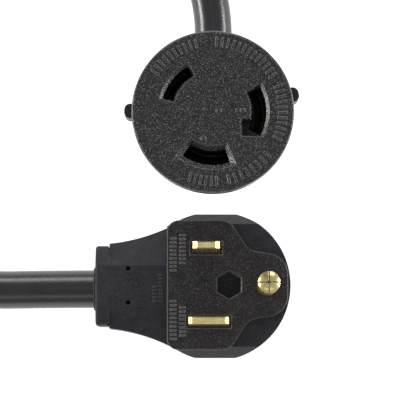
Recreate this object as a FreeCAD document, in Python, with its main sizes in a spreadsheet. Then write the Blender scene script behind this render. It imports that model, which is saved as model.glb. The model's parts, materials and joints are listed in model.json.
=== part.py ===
import FreeCAD, Part

import math
import os
import re

import Sketcher
from FreeCAD import Placement, Rotation, Vector

# A short adapter cord: a flat right-angle plug with two parallel blades and a round ground pin at one
# end, and a round locking socket with three curved slots at the other.
# Frame: millimetres, +Z up. The plug lies on its back with its prongs up, its head's centre over the
# origin and its cord leaving towards -X. The cord runs round on the floor and rises into the socket,
# whose axis is vertical and whose face is up.

SIZES = {
    # Plug housing. Heights are above the plug's flat back.
    "head_radius": 26.0,
    "head_half_width": 25.0,
    "head_top": 28.5,
    "bevel_half_width": 21.3,
    "bevel_drop": 6.0,
    "neck_top": 26.5,
    "neck_start_half_width": 22.5,
    "neck_end": 37.0,
    "neck_end_half_width": 14.8,
    "neck_curve": 61.0,
    "band_half_width": 7.1,
    "band_slope": 30.0,
    "collar_length": 4.8,
    "collar_half_width": 14.0,
    "collar_round": 3.0,
    "collar_edge_round": 1.0,
    "lip_wall": 0.95,
    "lip_length": 0.9,
    "lip_round": 0.4,
    "slit_width": 0.5,
    "slit_depth": 1.2,
    "core_hole_radius": 0.9,
    "core_hole_back": 30.3,
    "core_hole_side": 5.9,
    "core_hole_depth": 3.0,
    "back_round": 1.6,
    # Raised plate that carries the prongs. Its outline is the corners of a polygon, rounded.
    "plate_rise": 2.5,
    "plate_depth": 10.0,
    "plate_inset": 2.4,
    "plate_back": 16.8,
    "plate_half_width": 22.4,
    "plate_shoulder": 4.9,
    "plate_waist": 11.6,
    "plate_waist_half_width": 12.2,
    "plate_nose": 25.1,
    "plate_nose_half_width": 9.9,
    "plate_back_round": 4.0,
    "plate_shoulder_round": 5.5,
    "plate_waist_round": 5.5,
    "plate_nose_round": 7.6,
    "plate_edge_round": 0.5,
    "hex_flats": 8.1,
    "hex_centre": 4.7,
    "hex_bevel": 0.35,
    "hex_depth": 5.0,
    "seat_margin": 1.1,
    "seat_depth": 0.5,
    # Raised marks that stand in rows where such a moulding has its ratings.
    "mark_width": 0.5,
    "mark_rise": 0.25,
    "plate_mark_length": 2.1,
    "neck_mark_length": 1.5,
    "rim_mark_length": 3.0,
    "rim_mark_width": 0.7,
    "rim_mark_rise": 0.4,
    "centre_mark_length": 1.0,
    # Prongs. Lengths are above the plate's face.
    "blade_line": -2.7,
    "blade_half_pitch": 12.7,
    "blade_thickness": 2.4,
    "blade_length": 22.0,
    "wide_blade_width": 13.6,
    "wide_blade_shift": 0.3,
    "wide_blade_bevel": 1.3,
    "narrow_blade_width": 9.2,
    "narrow_blade_shift": -0.5,
    "narrow_blade_bevel": 1.7,
    "blade_edge_bevel": 0.4,
    "blade_root": 16.6,
    "pin_offset": 17.9,
    "pin_radius": 3.72,
    "pin_length": 25.5,
    "pin_tip": 1.4,
    "pin_pit_radius": 0.4,
    "pin_pit_depth": 1.2,
    "pin_slit_width": 0.24,
    "pin_slit_depth": 1.0,
    "pin_root": 11.6,
    "pin_root_radius": 3.2,
    # Crimp barrels, stranded cores and the cord's jacket.
    "barrel_radius": 2.7,
    "barrel_length": 8.0,
    "strand_radius": 1.5,
    "core_radius": 2.2,
    "core_clearance": 0.16,
    "strand_bare": 1.5,
    "strand_reach": 7.0,
    "jacket_radius": 6.65,
    "plug_cord_height": 14.5,
    "plug_cord_side": -0.8,
    "plug_jacket_end": 33.0,
    "clamp_thickness": 0.8,
    "clamp_length": 4.0,
    "plug_clamp_back": 39.5,
    "barrel_overlap": 2.0,
    "core_bend_radius": 6.6,
    # Socket. Heights are above its lower end, where the cord enters it.
    "socket_x": -1.1,
    "socket_y": 51.55,
    "socket_height": 37.5,
    "face_radius": 25.6,
    "face_thickness": 7.0,
    "face_edge_round": 0.8,
    "socket_length": 71.0,
    "body_radius": 23.4,
    "body_waist_inset": 1.0,
    "body_wall": 3.4,
    "body_bottom": 24.0,
    "body_bottom_step": 0.8,
    "body_shoulder": 38.0,
    "body_shoulder_round": 9.0,
    "ridge_height": 4.9,
    "ridge_half_width": 2.35,
    "ridge_round": 1.9,
    "ridge_root": 3.0,
    "ridge_bottom": 50.0,
    "ridge_top": 60.0,
    "left_ridge_angle": 177.0,
    "right_ridge_angle": 14.5,
    "relief_wall": 2.55,
    "relief_taper": 3.0,
    "relief_groove": 1.2,
    "relief_groove_width": 1.6,
    "relief_groove_pitch": 4.2,
    "relief_first_groove": 4.0,
    "socket_jacket_reach": 8.0,
    "socket_clamp_bottom": 2.5,
    # Curved slots in the face, with angles from +X, and the contacts under them.
    "slot_pitch_radius": 14.6,
    "left_slot_half_width": 1.7,
    "left_slot_start": 118.5,
    "left_slot_end": 165.0,
    "right_slot_half_width": 2.2,
    "right_slot_start": -25.0,
    "right_slot_end": 28.5,
    "hook_inner_radius": 9.3,
    "hook_top": -2.7,
    "hook_bottom": -7.5,
    "lower_slot_half_width": 2.25,
    "lower_slot_start": 235.5,
    "lower_slot_end": 288.5,
    "slot_flare": 0.5,
    "slot_outer_flare": 1.1,
    "slot_flare_depth": 0.9,
    "lower_slot_flare": 1.5,
    "rim_mark_radius": 22.0,
    "carrier_bottom": 44.0,
    "carrier_floor": 3.0,
    "cavity_clearance": 0.3,
    "contact_half_gap": 1.1,
    "contact_half_width": 1.95,
    "contact_floor": 0.9,
    "contact_top_gap": 5.0,
    "contact_end_margin": 3.0,
    "contact_gap_overrun": 1.0,
    "socket_barrel_length": 7.0,
}

# The cord's centre line, from inside the plug's collar to inside the socket's strain relief: straight
# out, down to the floor, round, and up into the socket in runs that shorten towards it.
CORD_ROUTE = [
    (-33.0, -0.8, 14.5),
    (-53.0, -0.8, 14.5),
    (-91.0, -1.4, 12.3),
    (-123.6, 17.2, 8.4),
    (-142.8, 50.0, 6.65),
    (-143.4, 106.0, 6.65),
    (-123.2, 140.2, 6.65),
    (-90.4, 158.9, 6.65),
    (-52.4, 159.3, 6.65),
    (-19.3, 140.6, 6.65),
    (-0.5, 107.6, 6.65),
    (-0.8, 71.8, 6.65),
    (-1.1, 58.4, 16.4),
    (-1.1, 51.55, 30.1),
    (-1.1, 51.55, 45.5),
]
# How far a cutting sketch reaches past the solid that it cuts.
SPARE = 5
# Each arc takes this share of the shorter run beside it, so two arcs on one run never meet.
ARC_SHARE = 0.45

doc = FreeCAD.newDocument("adapter_cord")
sheet = doc.addObject("Spreadsheet::Sheet", "sizes")
for row, (name, size) in enumerate(SIZES.items(), start=1):
    sheet.set(f"A{row}", name)
    sheet.set(f"B{row}", str(size))
    sheet.setAlias(f"B{row}", name)
doc.recompute()

parts = {}


def cells(expression):
    """Point the names of sizes in an expression at the sheet's cells."""
    return re.sub("[a-z_]+", lambda word: "sizes." + word[0] if word[0] in SIZES else word[0], expression)


def number(expression):
    """The value in millimetres or degrees of an expression made of the names of sizes."""
    return float(sheet.evalExpression(expression))


def keep(label, piece):
    """Name a finished piece; the name is also its file's name."""
    piece.Label = label
    parts[label] = piece
    return piece


# Sketches and features ----------------------------------------------------------------------------


def new_sketch(body, role, offset="0", turn=None):
    """An empty sketch on one of the body's own planes, moved along that plane's normal."""
    sketch = body.newObject("Sketcher::SketchObject", "sketch")
    plane = [item for item in body.Origin.OriginFeatures if item.Role == role][0]
    sketch.AttachmentSupport = [(plane, "")]
    sketch.MapMode = "FlatFace"
    sketch.setExpression("AttachmentOffset.Base.z", cells(offset))
    if turn:
        sketch.AttachmentOffset = Placement(Vector(0, 0, 0), Rotation(Vector(0, 0, 1), 1))
        sketch.setExpression("AttachmentOffset.Rotation.Angle", cells(turn))
    return sketch


def fix(sketch, kind, expression, *where):
    """Add a dimension to a sketch and bind it to the sheet."""
    index = sketch.addConstraint(Sketcher.Constraint(kind, *where, number(expression)))
    sketch.setExpression(f"Constraints[{index}]", cells(expression))


def fix_point(sketch, geometry, end, point):
    """Place one point of a sketch, measured from the sketch's own origin."""
    fix(sketch, "DistanceX", point[0], -1, 1, geometry, end)
    fix(sketch, "DistanceY", point[1], -1, 1, geometry, end)


def join(sketch, kind, *where):
    sketch.addConstraint(Sketcher.Constraint(kind, *where))


def draw_circle(sketch, x, y, radius):
    centre = Vector(number(x), number(y), 0)
    index = sketch.addGeometry(Part.Circle(centre, Vector(0, 0, 1), number(radius)))
    fix_point(sketch, index, 3, (x, y))
    fix(sketch, "Radius", radius, index)


def draw_polygon(sketch, corners):
    """A closed outline of straight sides. Each corner is (x, y), or (x, y, radius) if it is rounded."""
    points = [Vector(number(corner[0]), number(corner[1]), 0) for corner in corners]
    count = len(corners)
    starts = []
    ends = []
    for index, corner in enumerate(corners):
        back = (points[index - 1] - points[index]).normalize()
        ahead = (points[(index + 1) % count] - points[index]).normalize()
        radius = number(corner[2]) if len(corner) > 2 else 0
        reach = radius / math.tan(back.getAngle(ahead) / 2)
        ends.append(points[index] + back * reach)
        starts.append(points[index] + ahead * reach)
    sides = []
    for index in range(count):
        side = Part.LineSegment(starts[index], ends[(index + 1) % count])
        sides.append(sketch.addGeometry(side))
    for index, corner in enumerate(corners):
        before = sides[index - 1]
        after = sides[index]
        if len(corner) == 2:
            join(sketch, "Coincident", before, 2, after, 1)
            fix_point(sketch, after, 1, corner)
            continue
        radius = number(corner[2])
        back = (points[index - 1] - points[index]).normalize()
        ahead = (points[(index + 1) % count] - points[index]).normalize()
        inward = (back + ahead).normalize()
        centre = points[index] + inward * (radius / math.sin(back.getAngle(ahead) / 2))
        middle = centre - inward * radius
        arc = sketch.addGeometry(Part.Arc(ends[index], middle, starts[index]))
        turns_left = back.cross(ahead).z < 0
        first, last = (1, 2) if turns_left else (2, 1)
        join(sketch, "Tangent", before, 2, arc, first)
        join(sketch, "Tangent", arc, last, after, 1)
        fix(sketch, "Radius", corner[2], arc)
        point = sketch.addGeometry(Part.Point(points[index]), True)
        join(sketch, "PointOnObject", point, 1, before)
        join(sketch, "PointOnObject", point, 1, after)
        fix_point(sketch, point, 1, corner)


def draw_arcs(sketch, steps):
    """A closed outline of points (x, y, bend): the side after a point is straight when bend is None,
    and otherwise an arc of that radius, which turns right where the bend starts with a minus sign."""
    points = [Vector(number(step[0]), number(step[1]), 0) for step in steps]
    sides = []
    for index, step in enumerate(steps):
        start = points[index]
        end = points[(index + 1) % len(points)]
        if step[2] is None:
            sides.append((sketch.addGeometry(Part.LineSegment(start, end)), 1, 2))
            continue
        turns_right = step[2].startswith("-")
        radius = number(step[2].lstrip("-"))
        chord = end - start
        left = Vector(-chord.y, chord.x, 0).normalize()
        height = math.sqrt(radius**2 - (chord.Length / 2) ** 2)
        sagitta = radius - height
        middle = (start + end) * 0.5 + left * (sagitta if turns_right else -sagitta)
        arc = sketch.addGeometry(Part.Arc(start, middle, end))
        sides.append((arc, 2, 1) if turns_right else (arc, 1, 2))
        fix(sketch, "Radius", step[2].lstrip("-"), arc)
    for index, step in enumerate(steps):
        before = sides[index - 1]
        after = sides[index]
        join(sketch, "Coincident", before[0], before[2], after[0], after[1])
        fix_point(sketch, after[0], after[1], step)


def draw_arc_slot(sketch, inner, outer, start, end):
    """A slot curved about the sketch's origin, between two radii and two angles."""
    corners = [
        (outer, start, f"({outer})"),
        (outer, end, None),
        (inner, end, f"-({inner})"),
        (inner, start, None),
    ]
    steps = []
    for radius, angle, bend in corners:
        steps.append((f"({radius}) * cos({angle})", f"({radius}) * sin({angle})", bend))
    draw_arcs(sketch, steps)


def draw_slot(sketch, name, half, start, end, margin="0", outer_margin="0"):
    """One of the face's slots, made wider by a margin, and by another on its outer side. The right slot's
    lower end is level and reaches in towards the middle as a hook."""
    inner = f"(slot_pitch_radius - {half} - {margin})"
    outer = f"(slot_pitch_radius + {half} + {outer_margin})"
    turn = f"{margin} / slot_pitch_radius * 180 / pi"
    last = f"({end} + {turn})"
    if name != "right":
        draw_arc_slot(sketch, inner, outer, f"({start} - {turn})", last)
        return
    low = f"(hook_bottom - {margin})"
    high = f"(hook_top + {margin})"
    tip = f"hook_inner_radius - {margin}"
    draw_arcs(
        sketch,
        [
            (f"sqrt({outer}^2 - {low}^2)", low, outer),
            (f"{outer} * cos({last})", f"{outer} * sin({last})", None),
            (f"{inner} * cos({last})", f"{inner} * sin({last})", "-" + inner),
            (f"sqrt({inner}^2 - {high}^2)", high, None),
            (tip, high, None),
            (tip, low, None),
        ],
    )


def feature(body, kind, sketch, **settings):
    """Add a PartDesign feature made from a sketch; each setting is bound to the sheet."""
    item = body.newObject("PartDesign::" + kind, kind.lower())
    item.Profile = sketch
    for setting, expression in settings.items():
        item.setExpression(setting, cells(expression))
    return item


def pad(body, sketch, length):
    return feature(body, "Pad", sketch, Length=length)


def pocket(body, sketch, length, reverse=False):
    """Cut a pocket against the sketch's normal, or along it, and check that it removed something."""
    doc.recompute()
    before = body.Shape.Volume
    item = feature(body, "Pocket", sketch, Length=length)
    item.Reversed = reverse
    doc.recompute()
    if not body.Shape.Volume < before - 1e-6:
        raise RuntimeError(body.Label + ": a pocket cut nothing")
    return item


def repeat(body, original, kind, axis_role, count, **settings):
    """Repeat the last feature along or about one of the body's axes."""
    pattern = body.newObject("PartDesign::" + kind, kind.lower())
    pattern.Originals = [original]
    axis = [item for item in body.Origin.OriginFeatures if item.Role == axis_role][0]
    if kind == "LinearPattern":
        pattern.Direction = (axis, [""])
    else:
        pattern.Axis = (axis, [""])
    for setting, expression in settings.items():
        pattern.setExpression(setting, cells(expression))
    pattern.Occurrences = count
    body.Tip = pattern
    return pattern


def revolve(body, sketch, kind="Revolution"):
    """Turn a sketch drawn on the XZ plane a whole turn about the body's Z axis."""
    item = feature(body, kind, sketch)
    item.ReferenceAxis = (sketch, ["V_Axis"])
    item.Angle = 360
    return item


def edge_names(shape, wanted):
    return [f"Edge{index}" for index, edge in enumerate(shape.Edges, start=1) if wanted(edge)]


def dress(body, kind, setting, expression, wanted):
    """Fillet or chamfer the edges of the body's last feature that pass a test."""
    doc.recompute()
    base = body.Tip
    names = edge_names(base.Shape, wanted)
    if not names:
        raise RuntimeError(body.Label + ": no edge to " + kind.lower())
    item = body.newObject("PartDesign::" + kind, kind.lower())
    item.Base = (base, names)
    item.setExpression(setting, cells(expression))
    doc.recompute()
    return item


def at_height(edge, height):
    box = edge.BoundBox
    return abs(box.ZMin - height) < 1e-4 and abs(box.ZMax - height) < 1e-4


def new_body(name):
    return doc.addObject("PartDesign::Body", name)


def stand_on_cord(body):
    """Put a body that was modelled about the socket's own axis where the socket is."""
    body.setExpression("Placement.Base.x", cells("socket_x"))
    body.setExpression("Placement.Base.y", cells("socket_y"))
    body.setExpression("Placement.Base.z", cells("socket_height"))


def moulded_over(label, outer, inner):
    """A moulding with the space of each piece that it is moulded round taken out of it."""
    group = doc.addObject("Part::Compound", label + "_inside")
    group.Links = inner
    cut = doc.addObject("Part::Cut", label)
    cut.Base = outer
    cut.Tool = group
    return keep(label, cut)


# Cord, cores and strands --------------------------------------------------------------------------


def rounded_path(points, share=ARC_SHARE, radius=None):
    """A wire of straight runs joined by tangent arcs, and the arcs' radii. The radius is the given one,
    or else as large as the two runs allow."""
    points = [Vector(*point) for point in points]
    edges = []
    radii = []
    here = points[0]
    for before, corner, after in zip(points, points[1:], points[2:]):
        back = (before - corner).normalize()
        ahead = (after - corner).normalize()
        turn = math.pi - back.getAngle(ahead)
        shorter = min((before - corner).Length, (after - corner).Length)
        bend = radius or share * shorter / math.tan(turn / 2)
        reach = bend * math.tan(turn / 2)
        start = corner + back * reach
        end = corner + ahead * reach
        inward = (back + ahead).normalize()
        centre = corner + inward * (bend / math.cos(turn / 2))
        edges.append(Part.LineSegment(here, start).toShape())
        edges.append(Part.Arc(start, centre - inward * bend, end).toShape())
        radii.append(bend)
        here = end
    edges.append(Part.LineSegment(here, points[-1]).toShape())
    return Part.Wire(edges), radii


def tube(path, radius):
    """A round rod along a path, checked against its section times its length."""
    start = path.OrderedEdges[0]
    circle = Part.Circle(start.valueAt(start.FirstParameter), start.tangentAt(start.FirstParameter), radius)
    solid = path.makePipeShell([Part.Wire(circle.toShape())], True, False)
    expected = math.pi * radius**2 * path.Length
    if abs(solid.Volume / expected - 1) > 0.01:
        raise RuntimeError("a swept rod has the wrong volume")
    return solid


def add_shape(label, shape, placement=Placement()):
    piece = doc.addObject("Part::Feature", label)
    piece.Shape = shape
    piece.Placement = placement
    return keep(label, piece)


def add_core(name, points, placement=Placement()):
    """One stranded core: copper strands in an insulating sleeve, bare near the crimp barrel. The points
    end where the sleeve does, and the strands go on straight from there into the barrel."""
    path, _ = rounded_path(points, radius=number("core_bend_radius"))
    ahead = (Vector(*points[-1]) - Vector(*points[-2])).normalize()
    bare_end = Vector(*points[-1]) + ahead * number("strand_bare + strand_reach")
    bare = Part.LineSegment(Vector(*points[-1]), bare_end).toShape()
    strands = tube(Part.Wire(path.OrderedEdges + [bare]), number("strand_radius"))
    sleeve = tube(path, number("core_radius")).cut(strands)
    add_shape(name + "_insulation", sleeve, placement)
    add_shape(name + "_copper_strands", strands, placement)


def build_cord():
    path, radii = rounded_path(CORD_ROUTE)
    print("cord length", round(path.Length, 1), "bend radii", [round(radius, 1) for radius in radii])
    add_shape("cord_jacket", tube(path, number("jacket_radius")))


# Plug ---------------------------------------------------------------------------------------------


def mirrored(points):
    """Complete an outline that is given for +Y from its first point to its last, by its mirror image."""
    return points + [(point[0], "-(" + point[1] + ")") + tuple(point[2:]) for point in reversed(points)]


def draw_plate_outline(sketch, inset="0"):
    """The outline of the plate, or of the block under it, which is set in from the plate's edge."""
    corners = [
        (f"plate_nose - {inset}", f"plate_nose_half_width - {inset}", f"plate_nose_round - {inset}"),
        (f"plate_waist - {inset}", f"plate_waist_half_width - {inset}", "plate_waist_round"),
        (f"plate_shoulder - {inset}", f"plate_half_width - {inset}", f"plate_shoulder_round - {inset}"),
        (f"-plate_back + {inset}", f"plate_half_width - {inset}", f"plate_back_round - {inset}"),
    ]
    draw_polygon(sketch, mirrored(corners))


# Rows of marks along Y: where the row is in X, the middle of its first mark in Y, its span and count.
PLATE_MARKS = [
    ("-14.6", "5.0", "11.0", 9),
    ("-14.6", "-18.6", "13.0", 10),
    ("-11.4", "7.6", "9.6", 8),
    ("-11.4", "-17.4", "9.6", 8),
]
NECK_MARKS = [
    ("-21.0", "-5.4", "5.0", 5),
    ("-18.9", "-5.4", "9.0", 8),
]


def draw_rectangle(sketch, x, y, half_x, half_y):
    draw_polygon(
        sketch,
        [
            (f"{x} - ({half_x})", f"{y} - ({half_y})"),
            (f"{x} + ({half_x})", f"{y} - ({half_y})"),
            (f"{x} + ({half_x})", f"{y} + ({half_y})"),
            (f"{x} - ({half_x})", f"{y} + ({half_y})"),
        ],
    )


def add_marks(body, height, length, x, first_y, span, count):
    """A row of small raised marks along Y, each of them long in X."""
    mark = new_sketch(body, "XY_Plane", height)
    draw_rectangle(mark, x, first_y, f"{length} / 2", "mark_width / 2")
    first = pad(body, mark, "mark_rise")
    repeat(body, first, "LinearPattern", "Y_Axis", count, Length=span)


def build_plug_housing():
    """The moulded shell: a round head, flat at the sides, a curved neck and a collar."""
    body = new_body("plug_moulding")
    flat_end = "sqrt(head_radius^2 - head_half_width^2)"
    neck_start = "-sqrt(head_radius^2 - neck_start_half_width^2)"
    outline = new_sketch(body, "XY_Plane")
    draw_arcs(
        outline,
        [
            (flat_end, "-head_half_width", "head_radius"),
            (flat_end, "head_half_width", None),
            ("-" + flat_end, "head_half_width", "head_radius"),
            (neck_start, "neck_start_half_width", "-neck_curve"),
            ("-neck_end", "neck_end_half_width", None),
            ("-neck_end", "-neck_end_half_width", "-neck_curve"),
            (neck_start, "-neck_start_half_width", "head_radius"),
            ("-" + flat_end, "-head_half_width", None),
        ],
    )
    pad(body, outline, "head_top")

    # The neck is lower than the head: a flat band along its middle, and a slope down to each side.
    roof = new_sketch(body, "YZ_Plane", "-plate_back")
    outside = f"head_radius + {SPARE}"
    above = f"head_top + {SPARE}"
    slope_foot = f"neck_top - ({outside} - band_half_width) * tan(band_slope)"
    draw_polygon(
        roof,
        [
            (f"-({outside})", above),
            (f"-({outside})", slope_foot),
            ("-band_half_width", "neck_top"),
            ("band_half_width", "neck_top"),
            (outside, slope_foot),
            (outside, above),
        ],
    )
    pocket(body, roof, "head_radius * 2")

    # The head's top falls away along both flat sides.
    for side in ("", "-"):
        bevel = new_sketch(body, "YZ_Plane", "-plate_back")
        draw_polygon(
            bevel,
            [
                (side + "bevel_half_width", "head_top"),
                (side + "head_half_width", "head_top - bevel_drop"),
                (f"{side}({outside})", "head_top - bevel_drop"),
                (f"{side}({outside})", above),
                (side + "bevel_half_width", above),
            ],
        )
        pocket(body, bevel, "head_radius * 3", reverse=True)
    dress(body, "Fillet", "Radius", "back_round", lambda edge: at_height(edge, 0))

    collar = new_sketch(body, "YZ_Plane", "-neck_end")
    collar_foot = "back_round / 2"
    draw_polygon(
        collar,
        [
            ("-collar_half_width", collar_foot, "collar_round"),
            ("collar_half_width", collar_foot, "collar_round"),
            ("collar_half_width", "neck_top - collar_round", "collar_round"),
            ("band_half_width", "neck_top"),
            ("-band_half_width", "neck_top"),
            ("-collar_half_width", "neck_top - collar_round", "collar_round"),
        ],
    )
    collar_pad = pad(body, collar, "collar_length")
    collar_pad.Reversed = True
    rear = -number("neck_end + collar_length")
    dress(body, "Fillet", "Radius", "collar_edge_round", lambda edge: abs(edge.BoundBox.XMax - rear) < 1e-4)

    # A low lip rings the cord where it leaves the collar.
    lip = new_sketch(body, "YZ_Plane", "-neck_end")
    draw_circle(lip, "plug_cord_side", "plug_cord_height", "jacket_radius + lip_wall")
    lip_pad = pad(body, lip, "collar_length + lip_length")
    lip_pad.Reversed = True
    lip_end = -number("neck_end + collar_length + lip_length")
    dress(body, "Fillet", "Radius", "lip_round", lambda edge: abs(edge.BoundBox.XMax - lip_end) < 1e-4)

    # A narrow groove at each side parts the collar from the neck.
    for side in ("", "-"):
        slit = new_sketch(body, "XY_Plane", above)
        draw_polygon(
            slit,
            [
                ("-neck_end - slit_width", side + "(collar_half_width - slit_depth)"),
                ("-neck_end", side + "(collar_half_width - slit_depth)"),
                ("-neck_end", f"{side}({outside})"),
                ("-neck_end - slit_width", f"{side}({outside})"),
            ],
        )
        pocket(body, slit, above)

    # Two blind holes mark the mould's core pins, and two rows of marks stand beside the plate.
    core_holes = new_sketch(body, "XY_Plane", "neck_top")
    for side in ("", "-"):
        draw_circle(core_holes, "-core_hole_back", side + "core_hole_side", "core_hole_radius")
    pocket(body, core_holes, "core_hole_depth")
    for row in NECK_MARKS:
        add_marks(body, "neck_top", "neck_mark_length", *row)

    recess = new_sketch(body, "XY_Plane", "head_top")
    draw_plate_outline(recess, "plate_inset")
    pocket(body, recess, "plate_depth - plate_rise")
    return body


def build_blade_carrier():
    """The raised plate that holds the prongs, with a hexagonal recess in its middle."""
    body = new_body("blade_carrier_moulding")
    block = new_sketch(body, "XY_Plane", "head_top + plate_rise - plate_depth")
    draw_plate_outline(block, "plate_inset")
    pad(body, block, "plate_depth - plate_rise")
    outline = new_sketch(body, "XY_Plane", "head_top")
    draw_plate_outline(outline)
    pad(body, outline, "plate_rise")
    face = number("head_top + plate_rise")
    dress(body, "Fillet", "Radius", "plate_edge_round", lambda edge: at_height(edge, face))

    hexagon = new_sketch(body, "XY_Plane", "head_top + plate_rise")
    corner = "hex_flats / sqrt(3)"
    corners = []
    for step in range(6):
        angle = 30 + 60 * step
        corners.append((f"hex_centre + {corner} * cos({angle})", f"{corner} * sin({angle})"))
    draw_polygon(hexagon, corners)
    pocket(body, hexagon, "hex_depth")
    reach = number(corner) + 1e-4
    middle = Vector(number("hex_centre"), 0, face)

    def rims_hexagon(edge):
        return at_height(edge, face) and (edge.CenterOfMass - middle).Length < reach

    dress(body, "Chamfer", "Size", "hex_bevel", rims_hexagon)

    for _, width, shift, _, side in BLADES:
        for margin, depth in (("seat_margin", "seat_depth"), ("0", "plate_depth")):
            slot = new_sketch(body, "XY_Plane", "head_top + plate_rise")
            draw_rectangle(
                slot,
                f"blade_line + {shift}",
                side + "blade_half_pitch",
                f"{width} / 2 + {margin}",
                f"blade_thickness / 2 + {margin}",
            )
            pocket(body, slot, depth)
    pin_hole = new_sketch(body, "XY_Plane", "head_top + plate_rise")
    draw_circle(pin_hole, "pin_offset", "0", "pin_root_radius")
    pocket(body, pin_hole, "plate_depth")
    for row in PLATE_MARKS:
        add_marks(body, "head_top + plate_rise", "plate_mark_length", *row)
    keep("plug_blade_carrier", body)


# Each blade: its name, the names of its width, shift along X and tip bevel, and its side of the plug.
BLADES = [
    ("wide", "wide_blade_width", "wide_blade_shift", "wide_blade_bevel", "-"),
    ("narrow", "narrow_blade_width", "narrow_blade_shift", "narrow_blade_bevel", ""),
]


def add_barrel(body, mouth, y):
    """A crimp barrel that lies along X, open towards -X, with the strands' bore in it."""
    ring = new_sketch(body, "YZ_Plane", mouth)
    draw_circle(ring, y, "plug_cord_height", "barrel_radius")
    pad(body, ring, "barrel_length")
    bore = new_sketch(body, "YZ_Plane", mouth)
    draw_circle(bore, y, "plug_cord_height", "strand_radius")
    pocket(body, bore, "strand_reach", reverse=True)


def barrel_mouth(centre):
    """Where along X the mouth is of a barrel that runs a little way into its prong."""
    return f"{centre} - barrel_length + barrel_overlap"


def build_blade(name, width, shift, bevel, side):
    """A flat blade with a bevelled tip, and its crimp barrel inside the plug."""
    label = f"plug_{name}_blade"
    body = new_body(label)
    y = side + "blade_half_pitch"
    section = new_sketch(body, "XY_Plane", "blade_root")
    draw_rectangle(section, f"blade_line + {shift}", y, f"{width} / 2", "blade_thickness / 2")
    pad(body, section, "head_top + plate_rise + blade_length - blade_root")
    tip = number("head_top + plate_rise + blade_length")

    def ends_tip(edge):
        return at_height(edge, tip) and edge.BoundBox.XLength < 1e-4

    def sides_tip(edge):
        return at_height(edge, tip) and edge.BoundBox.YLength < 1e-4

    dress(body, "Chamfer", "Size", bevel, ends_tip)
    dress(body, "Chamfer", "Size", "blade_edge_bevel", sides_tip)
    add_barrel(body, barrel_mouth("blade_line"), y)
    keep(label, body)


def build_ground_pin():
    """The round pin: a tip swaged into four petals about a pit, a slimmer root and a crimp barrel."""
    body = new_body("plug_ground_pin")
    profile = new_sketch(body, "XZ_Plane")
    tip = "head_top + plate_rise + pin_length"
    dome = "((pin_radius^2 + pin_tip^2) / (2 * pin_tip))"
    draw_arcs(
        profile,
        [
            ("0", "pin_root", None),
            ("pin_root_radius", "pin_root", None),
            ("pin_root_radius", "head_top + plate_rise", None),
            ("pin_radius", "head_top + plate_rise", None),
            ("pin_radius", f"{tip} - pin_tip", dome),
            ("0", tip, None),
        ],
    )
    revolve(body, profile)
    pit = new_sketch(body, "XY_Plane", tip)
    draw_circle(pit, "0", "0", "pin_pit_radius")
    pocket(body, pit, "pin_pit_depth")
    for half_x, half_y in (("pin_radius", "pin_slit_width / 2"), ("pin_slit_width / 2", "pin_radius")):
        slit = new_sketch(body, "XY_Plane", tip)
        draw_rectangle(slit, "0", "0", half_x, half_y)
        pocket(body, slit, "pin_slit_depth")
    add_barrel(body, barrel_mouth("-pin_root_radius"), "0")
    body.setExpression("Placement.Base.x", cells("pin_offset"))
    keep("plug_ground_pin", body)


def build_clamp_band(label, height, role="XY_Plane", y="0", z="0"):
    """A crimped band round the end of the cord's jacket."""
    body = new_body(label)
    ring = new_sketch(body, role, height)
    draw_circle(ring, y, z, "jacket_radius + clamp_thickness")
    draw_circle(ring, y, z, "jacket_radius")
    pad(body, ring, "clamp_length")
    return keep(label, body)


def core_start(index):
    """Where a core leaves the jacket, across the cord: three cores in a ring about its middle."""
    angle = math.radians(90 + 120 * index)
    ring = number("core_radius * 2 / sqrt(3) + core_clearance")
    return ring * math.cos(angle), ring * math.sin(angle)


def build_plug_core(name, index, end_y, mouth):
    """A core that leaves the jacket, turns out to its prong's line and ends at the crimp barrel."""
    start_x = -number("plug_jacket_end")
    side, up = core_start(index)
    start_y = number("plug_cord_side") + side
    start_z = number("plug_cord_height") + up
    end_x = number(mouth + " - strand_bare")
    end_z = number("plug_cord_height")
    straight = number("core_bend_radius")
    add_core(
        name,
        [
            (start_x, start_y, start_z),
            (start_x + straight, start_y, start_z),
            (end_x - straight, number(end_y), end_z),
            (end_x, number(end_y), end_z),
        ],
    )


def build_plug():
    build_blade_carrier()
    for blade in BLADES:
        build_blade(*blade)
    build_ground_pin()
    clamp = "-plug_clamp_back"
    build_clamp_band("plug_cord_clamp", clamp, "YZ_Plane", "plug_cord_side", "plug_cord_height")
    build_plug_core("plug_ground_core", 0, "0", barrel_mouth("pin_offset - pin_root_radius"))
    build_plug_core("plug_wide_core", 1, "-blade_half_pitch", barrel_mouth("blade_line"))
    build_plug_core("plug_narrow_core", 2, "blade_half_pitch", barrel_mouth("blade_line"))
    housing = build_plug_housing()
    inside = [piece for label, piece in parts.items() if label.startswith("plug_")]
    inside.remove(parts["plug_blade_carrier"])
    moulded_over("plug_housing", housing, inside + [parts["cord_jacket"]])


# Socket -------------------------------------------------------------------------------------------

# Each contact and its slot: name, half-width, start angle and end angle, by the names of their sizes.
SLOTS = [
    ("left", "left_slot_half_width", "left_slot_start", "left_slot_end"),
    ("right", "right_slot_half_width", "right_slot_start", "right_slot_end"),
    ("lower", "lower_slot_half_width", "lower_slot_start", "lower_slot_end"),
]

# Groups of raised marks round the face's rim: start angle, span and count.
RIM_MARKS = [
    ("31", "56", 13),
    ("104", "42", 10),
    ("251", "22", 6),
    ("283", "38", 8),
    ("-23", "44", 11),
]

# Short rows of marks inside the ring of slots: the first mark's place, the row's span along X and count.
CENTRE_MARKS = [
    ("1.2", "0.2", "1.3", 2),
    ("7.4", "0.4", "2.6", 3),
    ("-3.6", "-8.6", "1.3", 2),
]


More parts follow.
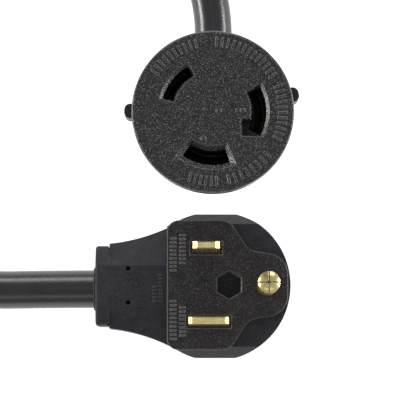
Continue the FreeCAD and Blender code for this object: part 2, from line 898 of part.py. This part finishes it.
def build_socket_face():
    """The face: a disc with a rounded edge and three curved slots that flare at their mouths. One slot
    has a hook, and the lower one opens like a funnel."""
    body = new_body("socket_face")
    disc = new_sketch(body, "XY_Plane", "socket_length - face_thickness")
    draw_circle(disc, "0", "0", "face_radius")
    pad(body, disc, "face_thickness")
    top = number("socket_length")
    dress(body, "Fillet", "Radius", "face_edge_round", lambda edge: at_height(edge, top))
    for slot in SLOTS:
        through = new_sketch(body, "XY_Plane", "socket_length")
        draw_slot(through, *slot)
        pocket(body, through, "face_thickness")
        margins = ("slot_flare", "slot_outer_flare")
        depth = "slot_flare_depth"
        if slot[0] == "lower":
            margins = ("lower_slot_flare", "lower_slot_flare")
            depth = "lower_slot_flare"
        mouth = new_sketch(body, "XY_Plane", "socket_length")
        draw_slot(mouth, *slot, *margins)
        foot = new_sketch(body, "XY_Plane", f"socket_length - {depth}")
        draw_slot(foot, *slot)
        funnel = feature(body, "SubtractiveLoft", mouth)
        funnel.Sections = [foot]
        funnel.Ruled = True

    # Raised marks stand in groups round the rim.
    for start, span, count in RIM_MARKS:
        mark = new_sketch(body, "XY_Plane", "socket_length", turn=start)
        draw_rectangle(mark, "rim_mark_radius", "0", "rim_mark_length / 2", "rim_mark_width / 2")
        first = pad(body, mark, "rim_mark_rise")
        repeat(body, first, "PolarPattern", "Z_Axis", count, Angle=span)
    for x, y, span, count in CENTRE_MARKS:
        mark = new_sketch(body, "XY_Plane", "socket_length")
        draw_rectangle(mark, x, y, "mark_width / 2", "centre_mark_length / 2")
        first = pad(body, mark, "mark_rise")
        repeat(body, first, "LinearPattern", "X_Axis", count, Length=span)
    stand_on_cord(body)
    keep("socket_face", body)


def mid_angle(start, end):
    return f"(({start} + {end}) / 2)"


def build_contact(name, start, end):
    """A sprung brass contact: two curved leaves joined by a floor, with a crimp barrel below."""
    body = new_body(f"socket_{name}_contact")
    floor = "carrier_bottom + carrier_floor"
    first = f"({start} + contact_end_margin)"
    last = f"({end} - contact_end_margin)"
    inner = "slot_pitch_radius - contact_half_width"
    outer = "slot_pitch_radius + contact_half_width"
    top = "socket_length - face_thickness - contact_top_gap"
    section = new_sketch(body, "XY_Plane", floor)
    draw_arc_slot(section, inner, outer, first, last)
    pad(body, section, f"{top} - ({floor})")
    gap = new_sketch(body, "XY_Plane", top)
    inner = "slot_pitch_radius - contact_half_gap"
    outer = "slot_pitch_radius + contact_half_gap"
    draw_arc_slot(gap, inner, outer, f"{first} - contact_gap_overrun", f"{last} + contact_gap_overrun")
    pocket(body, gap, f"{top} - ({floor}) - contact_floor")
    x = f"slot_pitch_radius * cos({mid_angle(start, end)})"
    y = f"slot_pitch_radius * sin({mid_angle(start, end)})"
    barrel = new_sketch(body, "XY_Plane", f"{floor} - socket_barrel_length")
    draw_circle(barrel, x, y, "barrel_radius")
    pad(body, barrel, "socket_barrel_length")
    bore = new_sketch(body, "XY_Plane", f"{floor} - socket_barrel_length")
    draw_circle(bore, x, y, "strand_radius")
    pocket(body, bore, "socket_barrel_length", reverse=True)
    stand_on_cord(body)
    keep(f"socket_{name}_contact", body)


def build_contact_carrier():
    """The block behind the face, with a cavity for each contact and a hole for its barrel."""
    body = new_body("socket_contact_carrier")
    disc = new_sketch(body, "XY_Plane", "carrier_bottom")
    draw_circle(disc, "0", "0", "body_radius - body_wall")
    pad(body, disc, "socket_length - face_thickness - carrier_bottom")
    reach = "contact_half_width + cavity_clearance"
    for _, _, start, end in SLOTS:
        cavity = new_sketch(body, "XY_Plane", "socket_length - face_thickness")
        inner = f"slot_pitch_radius - ({reach})"
        outer = f"slot_pitch_radius + ({reach})"
        draw_arc_slot(cavity, inner, outer, start, end)
        pocket(body, cavity, "socket_length - face_thickness - carrier_bottom - carrier_floor")
        hole = new_sketch(body, "XY_Plane", "carrier_bottom")
        x = f"slot_pitch_radius * cos({mid_angle(start, end)})"
        y = f"slot_pitch_radius * sin({mid_angle(start, end)})"
        draw_circle(hole, x, y, "barrel_radius")
        pocket(body, hole, "carrier_floor", reverse=True)
    stand_on_cord(body)
    keep("socket_contact_carrier", body)


# The moulding behind the face narrows towards the strain relief, which fits over the cord's jacket.
WAIST_RADIUS = "(body_radius - body_waist_inset)"
RELIEF_BOTTOM_RADIUS = "(jacket_radius + relief_wall)"
RELIEF_TOP_RADIUS = "(jacket_radius + relief_wall + relief_taper)"


def build_socket_body():
    """The moulded grip behind the face: a barrel that rounds in to the strain relief, with two ridges."""
    body = new_body("socket_moulding")
    profile = new_sketch(body, "XZ_Plane")
    draw_polygon(
        profile,
        [
            ("0", "body_bottom"),
            (f"{RELIEF_TOP_RADIUS} + body_bottom_step", "body_bottom"),
            (WAIST_RADIUS, "body_shoulder - body_shoulder_round / 2", "body_shoulder_round"),
            ("body_radius", "socket_length - face_thickness"),
            ("0", "socket_length - face_thickness"),
        ],
    )
    revolve(body, profile)
    for angle in ("left_ridge_angle", "right_ridge_angle"):
        ridge = new_sketch(body, "XY_Plane", "ridge_bottom", turn=angle)
        draw_polygon(
            ridge,
            [
                (f"{WAIST_RADIUS} - ridge_root", "-ridge_half_width"),
                ("body_radius + ridge_height", "-ridge_half_width", "ridge_round"),
                ("body_radius + ridge_height", "ridge_half_width", "ridge_round"),
                (f"{WAIST_RADIUS} - ridge_root", "ridge_half_width"),
            ],
        )
        pad(body, ridge, "ridge_top - ridge_bottom")
    recess = new_sketch(body, "XY_Plane", "socket_length - face_thickness")
    draw_circle(recess, "0", "0", "body_radius - body_wall")
    pocket(body, recess, "socket_length - face_thickness - carrier_bottom")
    stand_on_cord(body)
    return body


def build_strain_relief():
    """The tapered boot on the cord, with ring grooves that let it bend."""
    body = new_body("strain_relief_moulding")
    profile = new_sketch(body, "XZ_Plane")
    draw_polygon(
        profile,
        [
            ("0", "0"),
            (RELIEF_BOTTOM_RADIUS, "0"),
            (RELIEF_TOP_RADIUS, "body_bottom"),
            ("0", "body_bottom"),
        ],
    )
    revolve(body, profile)
    groove_sketch = new_sketch(body, "XZ_Plane")
    draw_rectangle(
        groove_sketch,
        RELIEF_TOP_RADIUS,
        "relief_first_groove + relief_groove_width / 2",
        "relief_taper + relief_groove",
        "relief_groove_width / 2",
    )
    groove = revolve(body, groove_sketch, "Groove")
    repeat(body, groove, "LinearPattern", "Z_Axis", 4, Length="relief_groove_pitch * 3")
    stand_on_cord(body)
    return body


def build_socket_core(name, index, start, end):
    """A core that leaves the jacket and turns out to its contact's crimp barrel."""
    angle = math.radians(number(mid_angle(start, end)))
    # The cores keep the order in which their contacts lie round the axis, so they don't cross.
    ring = number("core_radius * 2 / sqrt(3) + core_clearance")
    pitch = number("slot_pitch_radius")
    low = number("socket_jacket_reach")
    top = number("carrier_bottom + carrier_floor - socket_barrel_length - strand_bare")
    straight = number("core_bend_radius")
    place = Placement(Vector(number("socket_x"), number("socket_y"), number("socket_height")), Rotation())
    spread = math.radians(number("left_slot_start + left_slot_end") / 2 + 120 * index)
    add_core(
        name,
        [
            (ring * math.cos(spread), ring * math.sin(spread), low),
            (ring * math.cos(spread), ring * math.sin(spread), low + straight),
            (pitch * math.cos(angle), pitch * math.sin(angle), top - straight),
            (pitch * math.cos(angle), pitch * math.sin(angle), top),
        ],
        place,
    )


def build_socket():
    build_socket_face()
    build_contact_carrier()
    for index, (name, _, start, end) in zip((0, 2, 1), SLOTS):
        build_contact(name, start, end)
        build_socket_core(f"socket_{name}_core", index, start, end)
    clamp = build_clamp_band("socket_cord_clamp", "socket_clamp_bottom")
    stand_on_cord(clamp)
    cores = [piece for label, piece in parts.items() if re.match("socket_.*_(insulation|strands)", label)]
    contacts = [piece for label, piece in parts.items() if re.match("socket_.*_contact$", label)]
    body = build_socket_body()
    moulded_over("socket_body", body, cores + contacts)
    relief = build_strain_relief()
    moulded_over("socket_strain_relief", relief, cores + [clamp, parts["cord_jacket"]])


def check_and_write():
    doc.recompute()
    for item in doc.Objects:
        if "Invalid" in item.State or "Error" in item.State:
            raise RuntimeError(item.Label + " failed: " + str(item.State))
    os.makedirs("parts", exist_ok=True)
    for label, piece in parts.items():
        shape = piece.Shape
        if shape.isNull() or not shape.isValid() or len(shape.Solids) != 1:
            raise RuntimeError(f"{label}: null, not valid, or {len(shape.Solids)} solids")
    for label, piece in parts.items():
        piece.Shape.exportStep(f"parts/{label}.step")
        print(label, round(piece.Shape.Volume, 1), piece.Shape.BoundBox)


build_cord()
build_plug()
build_socket()
check_and_write()
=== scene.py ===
import json
import math

import bpy
from mathutils import Matrix, Vector

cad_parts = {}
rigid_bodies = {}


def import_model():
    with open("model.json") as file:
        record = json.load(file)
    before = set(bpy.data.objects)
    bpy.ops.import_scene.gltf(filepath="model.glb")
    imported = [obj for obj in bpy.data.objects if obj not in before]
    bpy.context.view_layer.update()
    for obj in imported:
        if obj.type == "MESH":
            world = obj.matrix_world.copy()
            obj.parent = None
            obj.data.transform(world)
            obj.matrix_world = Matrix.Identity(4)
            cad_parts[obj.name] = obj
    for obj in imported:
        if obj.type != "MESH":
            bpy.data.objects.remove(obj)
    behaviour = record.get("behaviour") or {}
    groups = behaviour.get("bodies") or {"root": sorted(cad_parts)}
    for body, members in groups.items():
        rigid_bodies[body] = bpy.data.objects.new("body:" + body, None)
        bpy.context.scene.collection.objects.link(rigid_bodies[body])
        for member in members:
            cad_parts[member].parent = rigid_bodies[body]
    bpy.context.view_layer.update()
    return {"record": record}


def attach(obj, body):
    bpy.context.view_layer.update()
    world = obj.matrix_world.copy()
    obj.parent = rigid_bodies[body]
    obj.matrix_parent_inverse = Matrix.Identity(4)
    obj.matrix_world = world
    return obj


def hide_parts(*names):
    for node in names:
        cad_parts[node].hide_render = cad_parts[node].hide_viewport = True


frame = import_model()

MM = 0.001
scene = bpy.context.scene
scene.view_settings.view_transform = "Standard"


# Camera -------------------------------------------------------------------------------------------

# Places are in metres, and the lens is a focal length in millimetres.
CAMERA_PLACE = Vector((-0.003, -0.032, 0.850))
CAMERA_AIM = Vector((-0.00536, 0.0294, 0.031))
CAMERA_LENS = 213.6
CAMERA_CLIP_START = 0.05


def upright_view(place, aim):
    """The turn that looks from place to aim, with the object's Y axis upright in the picture."""
    back = (place - aim).normalized()
    right = Vector((0, 1, 0)).cross(back).normalized()
    up = back.cross(right)
    return Matrix((right, up, back)).transposed().to_euler()


def add_camera():
    """The scene's camera, almost straight above the object."""
    data = bpy.data.cameras.new("camera")
    data.lens = CAMERA_LENS
    data.clip_start = CAMERA_CLIP_START
    camera = bpy.data.objects.new("camera", data)
    camera.location = CAMERA_PLACE
    camera.rotation_euler = upright_view(CAMERA_PLACE, CAMERA_AIM)
    scene.collection.objects.link(camera)
    scene.camera = camera


add_camera()


# Materials ----------------------------------------------------------------------------------------

# Rays that each rounded normal is worked out from.
BEVEL_SAMPLES = 6
# Sockets of a colour mix node, which has others of the same names for its other data types.
MIX_FACTOR = 0
MIX_FIRST = 6
MIX_SECOND = 7
MIX_RESULT = 2
# The cosine between a face's normal and its rounded normal at which the edge mask is full.
FULL_EDGE_COSINE = 0.85
# The normal's height at which a face begins to count as facing up, and at which it does fully.
FACES_UP_FROM = 0.1
FACES_UP_AT = 0.6


class Shader:
    """A material built round one Principled shader, with short ways to add its nodes."""

    def __init__(self, name, colour, roughness, metallic=0.0):
        self.material = bpy.data.materials.new(name)
        self.material.use_nodes = True
        self.nodes = self.material.node_tree.nodes
        self.links = self.material.node_tree.links
        self.surface = self.nodes["Principled BSDF"]
        self.surface.inputs["Base Color"].default_value = (*colour, 1)
        self.surface.inputs["Roughness"].default_value = roughness
        self.surface.inputs["Metallic"].default_value = metallic
        self.place = self.nodes.new("ShaderNodeTexCoord").outputs["Object"]
        self.normal = None

    def link(self, output, node, socket):
        """Join an output to a node's socket."""
        self.links.new(output, node.inputs[socket])

    def noise(self, size, detail=2.0, stretch=None):
        """Noise between 0 and 1, with features of about the given size in metres. A stretch under 1 along
        an axis draws them out along it."""
        node = self.nodes.new("ShaderNodeTexNoise")
        node.inputs["Scale"].default_value = 1 / size
        node.inputs["Detail"].default_value = detail
        place = self.place
        if stretch:
            mapping = self.nodes.new("ShaderNodeMapping")
            mapping.inputs["Scale"].default_value = stretch
            self.link(place, mapping, "Vector")
            place = mapping.outputs["Vector"]
        self.link(place, node, "Vector")
        return node.outputs["Fac"]

    def spread(self, value, low, high, out_low=0.0, out_high=1.0):
        """Stretch the part of a value between low and high to a new range."""
        node = self.nodes.new("ShaderNodeMapRange")
        node.inputs["From Min"].default_value = low
        node.inputs["From Max"].default_value = high
        node.inputs["To Min"].default_value = out_low
        node.inputs["To Max"].default_value = out_high
        self.link(value, node, "Value")
        return node.outputs["Result"]

    def colours(self, value, stops):
        """Colour by a value, between two stops of (position, colour)."""
        node = self.nodes.new("ShaderNodeValToRGB")
        for stop, (position, colour) in zip(node.color_ramp.elements, stops):
            stop.position = position
            stop.color = (*colour, 1)
        self.link(value, node, "Fac")
        return node.outputs["Color"]

    def mix(self, factor, first, second):
        """Mix two colours; either can be a colour or an output."""
        node = self.nodes.new("ShaderNodeMix")
        node.data_type = "RGBA"
        for socket, colour in ((MIX_FIRST, first), (MIX_SECOND, second)):
            if isinstance(colour, tuple):
                node.inputs[socket].default_value = (*colour, 1)
            else:
                self.link(colour, node, socket)
        self.link(factor, node, MIX_FACTOR)
        return node.outputs[MIX_RESULT]

    def bump(self, height, depth):
        """Raise the surface by a height times a depth in metres; bumps add to those before."""
        node = self.nodes.new("ShaderNodeBump")
        node.inputs["Distance"].default_value = depth
        self.link(height, node, "Height")
        if self.normal is not None:
            self.link(self.normal, node, "Normal")
        self.normal = node.outputs["Normal"]
        self.link(self.normal, self.surface, "Normal")

    def rounded_normal(self, radius):
        """The surface's normal as if its edges were rounded by a radius in metres."""
        node = self.nodes.new("ShaderNodeBevel")
        node.samples = BEVEL_SAMPLES
        node.inputs["Radius"].default_value = radius
        return node.outputs["Normal"]

    def round_edges(self, radius):
        """Soften sharp edges in the shading, before any bump."""
        self.normal = self.rounded_normal(radius)
        self.link(self.normal, self.surface, "Normal")

    def edge_mask(self, radius):
        """A value that is 0 on flat faces and rises to 1 at edges."""
        rounded = self.rounded_normal(radius)
        geometry = self.nodes.new("ShaderNodeNewGeometry")
        cosine = self.nodes.new("ShaderNodeVectorMath")
        cosine.operation = "DOT_PRODUCT"
        self.link(rounded, cosine, 0)
        self.link(geometry.outputs["Normal"], cosine, 1)
        return self.spread(cosine.outputs["Value"], 1.0, FULL_EDGE_COSINE)

    def faces_up(self):
        """A value that is 1 where the surface faces up, and 0 where it is upright."""
        geometry = self.nodes.new("ShaderNodeNewGeometry")
        split = self.nodes.new("ShaderNodeSeparateXYZ")
        self.link(geometry.outputs["Normal"], split, "Vector")
        return self.spread(split.outputs["Z"], FACES_UP_FROM, FACES_UP_AT)

    def near_plane(self, axis, place, reach):
        """A value that is 1 on the plane at a place along an axis, and 0 past the reach."""
        split = self.nodes.new("ShaderNodeSeparateXYZ")
        self.link(self.place, split, "Vector")
        offset = self.nodes.new("ShaderNodeMath")
        offset.operation = "SUBTRACT"
        offset.inputs[1].default_value = place
        self.link(split.outputs[axis], offset, 0)
        distance = self.nodes.new("ShaderNodeMath")
        distance.operation = "ABSOLUTE"
        self.link(offset.outputs[0], distance, 0)
        return self.spread(distance.outputs[0], 0.0, reach, 1.0, 0.0)

    def combine(self, operation, first, second):
        """One value from two, by an operation such as MAXIMUM or MULTIPLY."""
        node = self.nodes.new("ShaderNodeMath")
        node.operation = operation
        self.link(first, node, 0)
        self.link(second, node, 1)
        return node.outputs[0]

    def set(self, output, socket):
        """Let an output drive a socket of the Principled shader."""
        self.link(output, self.surface, socket)


def moulded_plastic(name, dark, light, glint_colour, gloss, roughness, grain, depth, wear_and_edge_highlight):
    """Plastic from a spark-eroded mould: finely pitted, with pale specks of painted glint where its grain
    would catch light, and pale at its edges, partly from wear and partly as a painted edge highlight. The
    grain's size and depth are in metres."""
    shader = Shader(name, dark, roughness)
    shader.surface.inputs["Specular IOR Level"].default_value = gloss
    shader.round_edges(0.3 * MM)
    mottle = shader.colours(shader.noise(3.5 * MM, 4.0), [(0.35, dark), (0.7, light)])
    # Painted glints: pale specks of colour where the grain would catch light.
    glint_mask = shader.spread(shader.noise(grain, 1.0), 0.54, 0.74)
    mottle = shader.mix(glint_mask, mottle, glint_colour)
    # The pale edges are partly wear and partly a painted edge highlight.
    shader.set(shader.mix(shader.edge_mask(0.45 * MM), mottle, wear_and_edge_highlight), "Base Color")
    patches = shader.noise(1.2 * MM, 3.0)
    shader.set(shader.spread(patches, 0.3, 0.7, roughness - 0.07, roughness + 0.07), "Roughness")
    shader.bump(shader.noise(grain, 2.0), depth)
    return shader.material


# The ground pin's axis, and how far the painted shade reaches from the middle of its tip's two slits and of
# the pit between them.
PIN_X = 17.9 * MM
PIN_Y = 0.0
SLIT_REACH = 0.32 * MM
PIT_REACH = 0.75 * MM

# A film of tarnish keeps old brass from looking fully metallic.
BRASS_METALLIC = 0.75


def brass_metal(name, deep, bright, roughness, edge):
    """The shader of brass with fine drawn lines, faint tarnish and edges rubbed bright by wear."""
    shader = Shader(name, bright, roughness, BRASS_METALLIC)
    shader.round_edges(0.1 * MM)
    tarnish = shader.colours(shader.noise(5 * MM, 3.0), [(0.3, deep), (0.65, bright)])
    shader.set(shader.mix(shader.edge_mask(0.12 * MM), tarnish, edge), "Base Color")
    lines = shader.noise(0.4 * MM, 2.0, stretch=(0.1, 1.0, 0.06))
    shader.set(shader.spread(lines, 0.3, 0.7, roughness - 0.05, roughness + 0.07), "Roughness")
    shader.bump(lines, 0.006 * MM)
    return shader


def prong_brass():
    """The prongs' brass, with a painted darker shade on the upright sides, and painted shade in the slits
    and the pit of the pin's tip.
    """
    # Painted shade: the upright sides of the prongs get a darker brass colour than the faces that face up.
    upright_side_shade = (0.42, 0.27, 0.08)
    # The colour of the painted shade in the slits and the pit of the pin's tip.
    slit_shade = (0.10, 0.07, 0.02)
    shader = brass_metal(
        name="brass",
        deep=(0.62, 0.50, 0.20),
        bright=(0.76, 0.66, 0.33),
        roughness=0.26,
        edge=(0.88, 0.81, 0.55),
    )
    brass_colour = shader.surface.inputs["Base Color"].links[0].from_socket
    metal = shader.mix(shader.faces_up(), upright_side_shade, brass_colour)
    across = shader.near_plane("X", PIN_X, SLIT_REACH)
    along = shader.near_plane("Y", PIN_Y, SLIT_REACH)
    slits = shader.combine("MAXIMUM", across, along)
    pit = shader.combine(
        "MULTIPLY",
        shader.near_plane("X", PIN_X, PIT_REACH),
        shader.near_plane("Y", PIN_Y, PIT_REACH),
    )
    # Painted shade: darker in the pin tip's two slits and in the pit between them.
    slit_and_pit_shade = shader.combine(
        "MAXIMUM",
        shader.spread(slits, 0.35, 0.8, 0.0, 0.7),
        shader.spread(pit, 0.15, 0.45),
    )
    shader.set(shader.mix(slit_and_pit_shade, metal, slit_shade), "Base Color")
    shader.bump(slits, -0.12 * MM)
    return shader.material


def cord_rubber():
    """The jacket: a smooth dark skin with faint drag marks."""
    dark = (0.010, 0.010, 0.012)
    light = (0.014, 0.014, 0.017)
    shader = Shader("jacket", dark, 0.3)
    shader.surface.inputs["Specular IOR Level"].default_value = 0.7
    stains = shader.noise(8 * MM, 3.0)
    shader.set(shader.colours(stains, [(0.3, dark), (0.7, light)]), "Base Color")
    shader.set(shader.spread(shader.noise(2 * MM, 4.0), 0.3, 0.7, 0.25, 0.33), "Roughness")
    shader.bump(shader.noise(0.5 * MM, 2.0), 0.02 * MM)
    return shader.material


def core_sleeve(name, dark, light):
    """A core's sleeve: soft, slightly chalky plastic."""
    shader = Shader(name, dark, 0.45)
    shader.set(shader.colours(shader.noise(1.5 * MM, 3.0), [(0.3, dark), (0.7, light)]), "Base Color")
    shader.set(shader.spread(shader.noise(0.6 * MM, 2.0), 0.3, 0.7, 0.38, 0.52), "Roughness")
    shader.bump(shader.noise(0.4 * MM, 2.0), 0.03 * MM)
    return shader.material


def bare_metal(name, deep, bright, roughness, line):
    """Bare metal with duller patches, and fine lines of the given size in metres."""
    shader = Shader(name, bright, roughness, metallic=1.0)
    shader.set(shader.colours(shader.noise(2 * MM, 3.0), [(0.3, deep), (0.7, bright)]), "Base Color")
    lines = shader.noise(line, 2.0, stretch=(0.1, 1.0, 1.0))
    shader.set(shader.spread(lines, 0.3, 0.7, roughness - 0.08, roughness + 0.08), "Roughness")
    shader.bump(lines, 0.03 * MM)
    return shader.material


MATERIALS = {
    "plug_moulding": moulded_plastic(
        name="plug_moulding",
        dark=(0.028, 0.027, 0.032),
        light=(0.040, 0.038, 0.045),
        glint_colour=(0.060, 0.057, 0.066),
        gloss=0.08,
        roughness=0.38,
        grain=0.36 * MM,
        depth=0.10 * MM,
        wear_and_edge_highlight=(0.10, 0.10, 0.105),
    ),
    "carrier_plastic": moulded_plastic(
        name="carrier_plastic",
        dark=(0.012, 0.011, 0.012),
        light=(0.021, 0.019, 0.020),
        glint_colour=(0.080, 0.074, 0.078),
        gloss=0.35,
        roughness=0.38,
        grain=0.40 * MM,
        depth=0.10 * MM,
        wear_and_edge_highlight=(0.22, 0.22, 0.225),
    ),
    "socket_face_plastic": moulded_plastic(
        name="socket_face_plastic",
        dark=(0.006, 0.006, 0.006),
        light=(0.014, 0.014, 0.014),
        glint_colour=(0.15, 0.15, 0.15),
        gloss=0.60,
        roughness=0.23,
        grain=0.40 * MM,
        depth=0.15 * MM,
        wear_and_edge_highlight=(0.14, 0.14, 0.14),
    ),
    "socket_moulding": moulded_plastic(
        name="socket_moulding",
        dark=(0.008, 0.008, 0.008),
        light=(0.014, 0.014, 0.014),
        glint_colour=(0.04, 0.04, 0.04),
        gloss=0.35,
        roughness=0.40,
        grain=0.5 * MM,
        depth=0.12 * MM,
        wear_and_edge_highlight=(0.08, 0.08, 0.08),
    ),
    "brass": prong_brass(),
    # Painted shade: the contacts sit deep in the socket's slots, so their brass is coloured nearly black.
    "contact_brass": brass_metal(
        name="contact_brass",
        deep=(0.03, 0.025, 0.015),
        bright=(0.05, 0.04, 0.02),
        roughness=0.6,
        edge=(0.06, 0.05, 0.03),
    ).material,
    "jacket": cord_rubber(),
    "insulation_black": core_sleeve(
        name="insulation_black",
        dark=(0.012, 0.012, 0.012),
        light=(0.022, 0.022, 0.022),
    ),
    "insulation_white": core_sleeve(
        name="insulation_white",
        dark=(0.62, 0.61, 0.57),
        light=(0.74, 0.73, 0.70),
    ),
    "insulation_green": core_sleeve(
        name="insulation_green",
        dark=(0.02, 0.16, 0.05),
        light=(0.03, 0.24, 0.08),
    ),
    "copper": bare_metal(
        name="copper",
        deep=(0.62, 0.30, 0.18),
        bright=(0.86, 0.47, 0.30),
        roughness=0.32,
        line=0.3 * MM,
    ),
    "clamp_steel": bare_metal(
        name="clamp_steel",
        deep=(0.42, 0.42, 0.43),
        bright=(0.58, 0.58, 0.59),
        roughness=0.35,
        line=0.2 * MM,
    ),
}


# Cord ---------------------------------------------------------------------------------------------

# The same points as the jacket's route in the CAD model, in metres, from the plug to the socket. The cord
# leaves the collar along -X, turns one wide bend on the surface and rises into the standing socket.
CORD_ROUTE = [
    (-0.0330, -0.0008, 0.0145),
    (-0.0530, -0.0008, 0.0145),
    (-0.0910, -0.0014, 0.0123),
    (-0.1236, 0.0172, 0.0084),
    (-0.1428, 0.0500, 0.00665),
    (-0.1434, 0.1060, 0.00665),
    (-0.1232, 0.1402, 0.00665),
    (-0.0904, 0.1589, 0.00665),
    (-0.0524, 0.1593, 0.00665),
    (-0.0193, 0.1406, 0.00665),
    (-0.0005, 0.1076, 0.00665),
    (-0.0008, 0.0718, 0.00665),
    (-0.0011, 0.0584, 0.0164),
    (-0.0011, 0.05155, 0.0301),
    (-0.0011, 0.05155, 0.0455),
]
# The jacket's diameter, in metres.
CORD_DIAMETER = 0.0133


def add_cord():
    """The whole jacket as one smooth curve, in place of the CAD model's runs and arcs."""
    curve = bpy.data.curves.new("cord", "CURVE")
    curve.dimensions = "3D"
    curve.resolution_u = 16
    curve.bevel_depth = CORD_DIAMETER / 2
    curve.bevel_resolution = 10
    curve.use_fill_caps = True
    spline = curve.splines.new("NURBS")
    spline.points.add(len(CORD_ROUTE) - 1)
    for point, place in zip(spline.points, CORD_ROUTE):
        point.co = (*place, 1)
    spline.order_u = 3
    spline.use_endpoint_u = True
    piece = bpy.data.objects.new("cord", curve)
    scene.collection.objects.link(piece)
    curve.materials.append(MATERIALS["jacket"])
    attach(piece, "root")
    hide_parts("cord_jacket")


add_cord()


# Finishes of the CAD pieces -----------------------------------------------------------------------

for subpart in frame["record"]["subparts"]:
    piece = bpy.data.objects[subpart["node"]]
    for material_slot in piece.material_slots:
        material_slot.material = MATERIALS[subpart["material_slot"]]


# Floor and light ----------------------------------------------------------------------------------

FLOOR_REACH = 3.0
FLOOR_GLOW = 0.8


def add_floor():
    """A light table: a white sheet that glows a little, so nothing casts a hard shadow on it."""
    mesh = bpy.data.meshes.new("floor")
    corners = [
        (-FLOOR_REACH, -FLOOR_REACH, 0),
        (FLOOR_REACH, -FLOOR_REACH, 0),
        (FLOOR_REACH, FLOOR_REACH, 0),
        (-FLOOR_REACH, FLOOR_REACH, 0),
    ]
    mesh.from_pydata(corners, [], [(0, 1, 2, 3)])
    floor = bpy.data.objects.new("floor", mesh)
    scene.collection.objects.link(floor)
    dark = (0.69, 0.69, 0.69)
    light = (0.71, 0.71, 0.71)
    shader = Shader("floor", dark, 0.9)
    shader.set(shader.colours(shader.noise(0.3), [(0.3, dark), (0.7, light)]), "Base Color")
    shader.surface.inputs["Specular IOR Level"].default_value = 0.0
    shader.surface.inputs["Emission Color"].default_value = (1, 1, 1, 1)
    shader.surface.inputs["Emission Strength"].default_value = FLOOR_GLOW
    mesh.materials.append(shader.material)


# The point that the four boxes face, and their distance from it.
LIT_POINT = Vector((0, 0.03, 0.03))
BOX_DISTANCE = 1.4

# Azimuth is in degrees from +X towards +Y, elevation in degrees from the floor, and size is the width and
# height that the object sees, in metres.
BOXES = [
    # name, azimuth, elevation, size, radiance
    ("back_box", 90, 27, (1.6, 0.50), 4.8),
    ("front_box", -90, 42, (1.6, 0.25), 1.5),
    ("left_box", 180, 15, (1.0, 0.22), 25),
    ("right_box", 0, 15, (1.0, 0.22), 20),
]

# Two cards hang overhead and face down, out of the camera's sight, and their sizes are along X and Y. The
# flat faces of the plug mirror the first one, and those of the socket the second.
CARDS = [
    # name, place, size, radiance
    ("plug_card", (0.015, 0.055, 1.5), (0.26, 0.18), 1.05),
    ("socket_card", (0.003, 0.225, 1.5), (0.20, 0.16), 0.6),
]

WORLD_STRENGTH = 0.35


def direction(azimuth, elevation):
    """The unit vector at an azimuth and an elevation in degrees."""
    azimuth = math.radians(azimuth)
    elevation = math.radians(elevation)
    flat = math.cos(elevation)
    return Vector((flat * math.cos(azimuth), flat * math.sin(azimuth), math.sin(elevation)))


def add_area_light(name, place, away, size, radiance):
    """A rectangular light at a place, with its back to the direction away. Its radiance sets how bright
    each point of it looks, whatever its size."""
    data = bpy.data.lights.new(name, "AREA")
    data.shape = "RECTANGLE"
    data.size, data.size_y = size
    data.energy = radiance * math.pi * data.size * data.size_y
    light = bpy.data.objects.new(name, data)
    light.location = place
    light.rotation_euler = away.to_track_quat("Z", "Y").to_euler()
    scene.collection.objects.link(light)
    return light


def add_lights():
    """The four boxes round the object and the two cards above it."""
    for name, azimuth, elevation, size, radiance in BOXES:
        away = direction(azimuth, elevation)
        add_area_light(name, LIT_POINT + away * BOX_DISTANCE, away, size, radiance)
    for name, place, size, radiance in CARDS:
        card = add_area_light(name, place, direction(0, 90), size, radiance)
        card.visible_camera = False


def add_world():
    """A plain, dim white surrounding."""
    world = bpy.data.worlds.new("world")
    scene.world = world
    world.use_nodes = True
    background = world.node_tree.nodes["Background"]
    background.inputs["Color"].default_value = (1, 1, 1, 1)
    background.inputs["Strength"].default_value = WORLD_STRENGTH


add_floor()
add_lights()
add_world()
